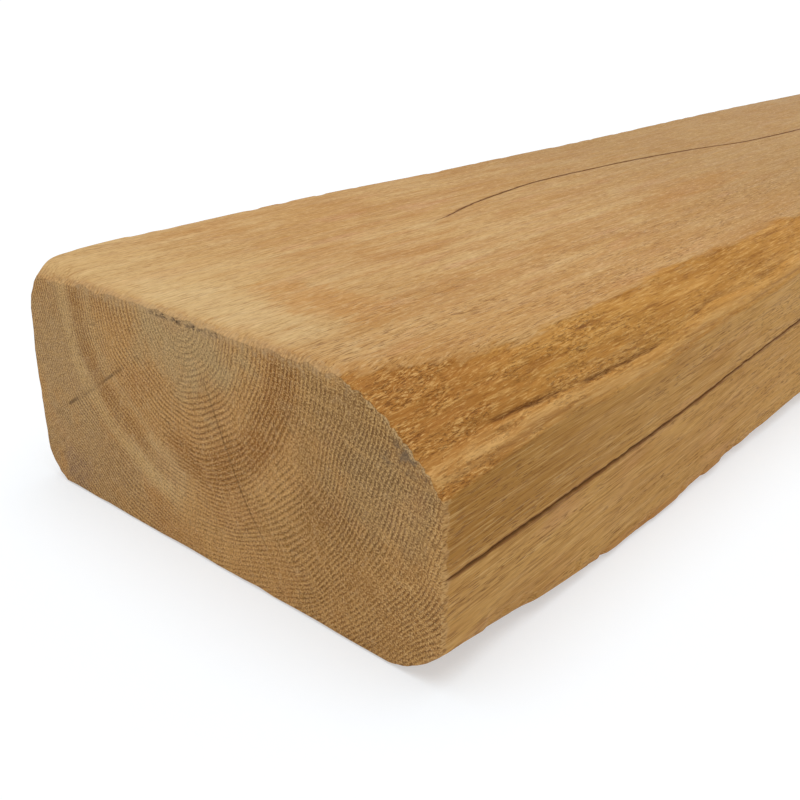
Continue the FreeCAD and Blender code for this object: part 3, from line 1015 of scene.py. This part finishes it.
def oak_finish():
    """Old oak: sawn faces, hewn edge, greyed ends, and checks darkened with painted shade."""
    oak = Finish("reclaimed_oak")
    place = beam_millimetres(oak)
    along, across, up = oak.node("ShaderNodeSeparateXYZ", {0: place}).outputs[:3]
    distance, turn = tree_rings(oak, place, along, across, up)
    end_colour, end_height = sawn_end_colour(oak, place, across, up, distance, turn)
    long_colour, long_height = long_face_colour(oak, place, along, across, up, distance)
    torn_colour, torn_height = hewn_colour(oak, place, along)
    hewn_edge = oak.swing(oak.noise(place, 18, 2.6, 63, rough=0.6), 0.45, 0.25, 0.75)
    hewn = oak.remap(oak.add(oak.value("hewn"), hewn_edge), 0.1, 0.9)
    end_grain = oak.value("end_grain")
    check_shade = oak.value("check_shade")

    colour = oak.mix(hewn, long_colour, torn_colour)
    # Painted shade in the checks: a soft brown darkening round their mouths and near-black at their roots.
    ragged = oak.swing(oak.noise(place, 16, 1.2, 77, rough=0.6), 0.09, 0.25, 0.75)
    colour = oak.tint(
        colour,
        (oak.add(check_shade, ragged), 0.12, 0.26, 0.62, (112, 62, 32)),
        (check_shade, 0.25, 0.6, 1, (50, 26, 16)))
    # The end's grey spills a little way over its crumbled arris.
    crumble = oak.swing(oak.noise(place, 1.6, 2.2, 79, rough=0.65), 1.7, 0.25, 0.75)
    spill = oak.remap(oak.add(along, crumble), 3, 1.7, 0, 0.78)
    spill = oak.times(spill, oak.remap(hewn, 0.6, 0.2))
    colour = oak.mix(oak.math("MAXIMUM", end_grain, spill), colour, end_colour)
    height = oak.remap(hewn, 0, 1, long_height, torn_height, False)
    height = oak.remap(end_grain, 0, 1, height, end_height, False)
    rough = oak.remap(oak.noise(place, 30, 3, 61), 0.3, 0.7, 0.62, 0.82)
    return oak.surface(colour, rough, height, 0.55, 0.6 * MM, 0.15)


def fibre_finish():
    """Torn oak fibres, paler than the wood that they stand on."""
    fibre = Finish("torn_oak_fibre")
    place = beam_millimetres(fibre)
    speck = fibre.noise(place, 4, 1.5, 67)
    strand = fibre.noise(place, 1.4, 0.4, 71, 1)
    colour = fibre.mix(fibre.remap(speck, 0.35, 0.65), tone(232, 190, 124), tone(184, 130, 64))
    colour = fibre.tint(colour, (strand, 0.5, 0.7, 0.35, (150, 100, 48)))
    rough = fibre.remap(speck, 0.3, 0.7, 0.6, 0.8)
    return fibre.surface(colour, rough, strand, 0.4, 0.2 * MM, 0.2)


# Torn fibres

FIBRE_INPUTS = {
    "Patch": "NodeSocketGeometry",
    "Fibres per area": "NodeSocketFloat",
    "Fibre length": "NodeSocketFloat",
    "Fibre radius": "NodeSocketFloat",
    "Curl": "NodeSocketFloat",
    "Seed": "NodeSocketInt",
}
FIBRE_SIZES = {
    "Fibres per area": 190000.0,
    "Fibre length": 3.9 * MM,
    "Fibre radius": 0.17 * MM,
    "Curl": 0.5,
    "Seed": 7,
}
TORN_LENGTH = 520


def fibre_tree(material):
    """Geometry nodes that stand short curved fibres on a patch, thickest where it is most torn."""
    group = bpy.data.node_groups.new("torn_fibres", "GeometryNodeTree")
    for name, kind in FIBRE_INPUTS.items():
        group.interface.new_socket(name, in_out="INPUT", socket_type=kind)
    group.interface.new_socket("Fibres", in_out="OUTPUT", socket_type="NodeSocketGeometry")
    tree = NodeTree(group)
    given = tree.node("NodeGroupInput").outputs
    torn = tree.node("GeometryNodeInputNamedAttribute", {"Name": "torn"}, data_type="FLOAT")
    spread = tree.node("GeometryNodeDistributePointsOnFaces", {
        "Mesh": given["Patch"], "Seed": given["Seed"],
        "Density": tree.times(given["Fibres per area"], torn.outputs["Attribute"])})

    # One fibre, arched and tapered.
    long = given["Fibre length"]
    reach = tree.out("ShaderNodeCombineXYZ", {0: long})
    middle = {0: tree.times(long, 0.5), 2: tree.times(long, given["Curl"])}
    line = tree.out("GeometryNodeCurveQuadraticBezier", {
        "Resolution": 4, "Start": (0, 0, 0), "End": reach,
        "Middle": tree.out("ShaderNodeCombineXYZ", middle)})
    taper = tree.out("ShaderNodeMapRange", {
        "Value": tree.out("GeometryNodeSplineParameter"),
        "From Min": 0, "From Max": 1, "To Min": 1, "To Max": 0.25})
    tapered = tree.out("GeometryNodeSetCurveRadius", {"Curve": line, "Radius": taper})
    ring = tree.out("GeometryNodeCurvePrimitiveCircle", {"Resolution": 3, "Radius": given["Fibre radius"]})
    fibre = tree.node("GeometryNodeCurveToMesh", {
        "Curve": tapered, "Profile Curve": ring, "Fill Caps": True})
    if "Scale" in fibre.inputs:
        tree.tree.links.new(taper, fibre.inputs["Scale"])

    # Fibres lie along the grain on the patch, each turned and sized a little differently.
    stand = tree.out("FunctionNodeAlignRotationToVector", {"Vector": spread.outputs["Normal"]}, axis="Z")
    lie = tree.out("FunctionNodeAlignRotationToVector", {"Rotation": stand, "Vector": (1, 0, 0)},
                   axis="X", pivot_axis="Z")
    stray = tree.out("FunctionNodeRandomValue", {
        "Min": (-0.5, -0.75, -0.75), "Max": (0.5, 0.12, 0.75), "Seed": 5}, data_type="FLOAT_VECTOR")
    turned = tree.out("FunctionNodeRotateRotation", {"Rotation": lie, "Rotate By": stray},
                      rotation_space="LOCAL")
    size = tree.node("FunctionNodeRandomValue", {2: 0.45, 3: 1.25, "Seed": 9}, data_type="FLOAT")
    laid = tree.out("GeometryNodeInstanceOnPoints", {
        "Points": spread.outputs["Points"], "Instance": fibre.outputs[0],
        "Rotation": turned, "Scale": size.outputs[1]})
    real = tree.out("GeometryNodeRealizeInstances", {"Geometry": laid})
    painted = tree.out("GeometryNodeSetMaterial", {"Geometry": real, "Material": material})
    tree.node("NodeGroupOutput", {0: painted})
    return group


def torn_patch(across, up, along, first):
    """The hewn edge as an open sheet, with how torn it is at each point."""
    low = first["wane"] - 1
    high = first["top_near"] + 6
    count = int(np.searchsorted(along, TORN_LENGTH))
    part_across = across[:count, low:high]
    part_up = up[:count, low:high]
    x = np.broadcast_to(along[:count, None], part_across.shape)
    width = high - low
    points = to_frame(x, part_across, part_up).reshape(-1, 3)
    here = np.arange(count * width).reshape(count, width)
    quads = np.stack([here[:-1, :-1], here[1:, :-1], here[1:, 1:], here[:-1, 1:]], axis=-1)
    mesh = bpy.data.meshes.new("torn_patch")
    mesh.from_pydata(points.tolist(), [], quads.reshape(-1, 4)[:, ::-1].tolist())
    share = np.broadcast_to(np.linspace(0, 1, width), part_across.shape)
    torn = 0.12 + (1 - ease(x, 45, 120))
    torn = torn + 0.9 * bump(x, 125, 22) * ease(share, 0.7, 0.95) + 1.6 * np.exp(-x / 2.5)
    torn = torn * ease(noise(x / 22, part_across / 8, part_up / 8, 71), -0.5, 0.5)
    torn = torn * (1 - 0.7 * bump(share, 0.33, 0.05)) * ease(share, 0.06, 0.16)
    point_value(mesh, "torn", torn.ravel())
    return mesh


def make_fibres(across, up, along, first):
    """Short torn fibres on the hewn edge, as one plain mesh."""
    patch = put_in_scene("torn_patch", torn_patch(across, up, along, first))
    modifier = patch.modifiers.new("torn fibres", "NODES")
    modifier.node_group = fibre_tree(fibre_finish())
    for item in modifier.node_group.interface.items_tree:
        if item.in_out == "INPUT" and item.name in FIBRE_SIZES:
            modifier[item.identifier] = FIBRE_SIZES[item.name]
    bpy.context.view_layer.update()
    ready = patch.evaluated_get(bpy.context.evaluated_depsgraph_get())
    mesh = bpy.data.meshes.new_from_object(ready)
    mesh.name = "torn_fibres"
    bpy.data.objects.remove(patch)
    return put_in_scene("torn_fibres", mesh)


# Studio

FLOOR_HALF = 14
FLOOR_GAP = 0.2 * MM
EYE_FROM_CORNER = (-0.1908, -0.1501, 0.2059)


def make_floor():
    """A plain white floor that shows the beam's shadow softly."""
    finish = Finish("white_floor")
    cast = finish.out("ShaderNodeBsdfDiffuse", {"Color": (0.875, 0.93, 0.985, 1)})
    plain = finish.out("ShaderNodeEmission", {"Color": WHITE, "Strength": 1.235})
    seen = finish.out("ShaderNodeMixShader", {0: 0.38, 1: cast, 2: plain})
    both = finish.out("ShaderNodeMixShader", {0: finish.seen_directly(), 1: cast, 2: seen})
    finish.node("ShaderNodeOutputMaterial", {"Surface": both})
    corners = ((-1, -1), (1, -1), (1, 1), (-1, 1))
    points = [(x * FLOOR_HALF, y * FLOOR_HALF, LOW.z - FLOOR_GAP) for x, y in corners]
    mesh = bpy.data.meshes.new("floor")
    mesh.from_pydata(points, [], [(0, 1, 2, 3)])
    mesh.materials.append(finish.material)
    floor = put_in_scene("floor", mesh)


def make_light():
    """Even white surroundings with one large soft light overhead."""
    world = bpy.data.worlds.new("white_room")
    world.use_nodes = True
    room = NodeTree(world.node_tree)
    lit = room.out("ShaderNodeBackground", {"Color": WHITE, "Strength": 0.52})
    white = room.out("ShaderNodeBackground", {"Color": WHITE})
    choose = room.out("ShaderNodeMixShader", {0: room.seen_directly(), 1: lit, 2: white})
    room.node("ShaderNodeOutputWorld", {0: choose})
    bpy.context.scene.world = world
    lamp = bpy.data.lights.new("overhead", "SUN")
    lamp.energy = 1.55
    lamp.angle = math.radians(58)
    sun = put_in_scene("overhead", lamp)
    sun.rotation_euler = Vector((0.06, 0.04, -1)).to_track_quat("-Z", "Y").to_euler()


def make_camera():
    """Eye above and outside the near corner of the -X end, looking along and down."""
    heading = math.radians(41.17)
    pitch = math.radians(23.53)
    direction = Vector((math.cos(heading) * math.cos(pitch), math.sin(heading) * math.cos(pitch),
                        -math.sin(pitch)))
    camera = bpy.data.cameras.new("camera")
    camera.lens = 43.83
    camera.sensor_width = 36
    camera.clip_start = 0.01
    camera.clip_end = 60
    holder = put_in_scene("camera", camera)
    holder.location = LOW + Vector(EYE_FROM_CORNER)
    holder.rotation_euler = direction.to_track_quat("-Z", "Y").to_euler()
    bpy.context.scene.camera = holder


make_camera()
make_light()
make_floor()
beam, beam_across, beam_up, beam_along, beam_first = make_beam()
beam.data.materials.append(oak_finish())
fibres = make_fibres(beam_across, beam_up, beam_along, beam_first)
for made_piece in (beam, fibres):
    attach(made_piece, "root")
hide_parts("oak_beam")
bpy.context.scene.view_settings.view_transform = "Standard"
